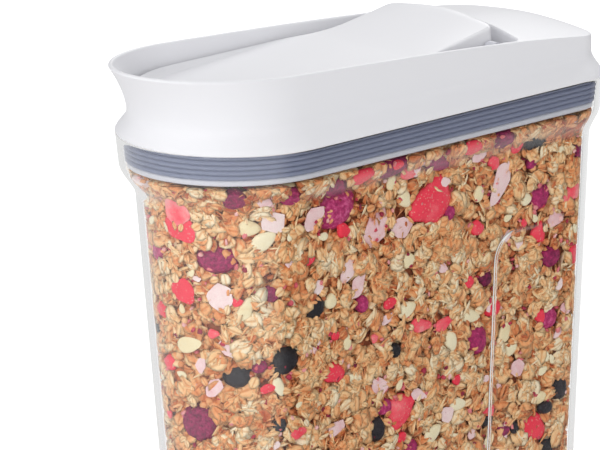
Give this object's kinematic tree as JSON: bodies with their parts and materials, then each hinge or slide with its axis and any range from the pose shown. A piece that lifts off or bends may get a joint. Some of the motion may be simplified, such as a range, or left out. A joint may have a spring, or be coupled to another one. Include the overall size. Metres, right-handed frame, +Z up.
{
  "type": "cereal container with flip spout",
  "caption": "Clear tapered dry-food container with a white spouted lid, a ribbed mouth seal and a flip-up pour cap with a thumb hump.",
  "frame": {"origin": "middle of the object's box, on the surface that it stands on", "axes": "+Z up, -X toward the spout, +X toward the rear deck, +Y across"},
  "size_m": [0.2514, 0.1, 0.2387],
  "materials": {
    "clear_body": "clear and polished",
    "lid_white": "smooth, soft gloss",
    "inner_white": "smooth, slightly milky",
    "seal_blue": "satin silicone",
    "pin_steel": "drawn"
  },
  "bodies": {
    "container": {"container_body": "clear_body"},
    "lid": {"lid_housing": "lid_white", "lid_inner_plate": "inner_white", "mouth_seal": "seal_blue"},
    "cap": {"flip_cap": "lid_white", "flip_cap_liner": "inner_white", "pour_seal": "seal_blue", "hinge_pin_left": "pin_steel", "hinge_pin_right": "pin_steel"}
  },
  "joints": [
    {"name": "lid_lift", "type": "slide", "parent": "container", "child": "lid", "axis": [0, 0, 1], "range_m": [0, 0.06]},
    {"name": "flip_cap", "type": "hinge", "parent": "lid", "child": "cap", "pos_m": [0.05665, 0, 0.225], "axis": [0, 1, 0], "range_deg": [0, 100]}
  ]
}
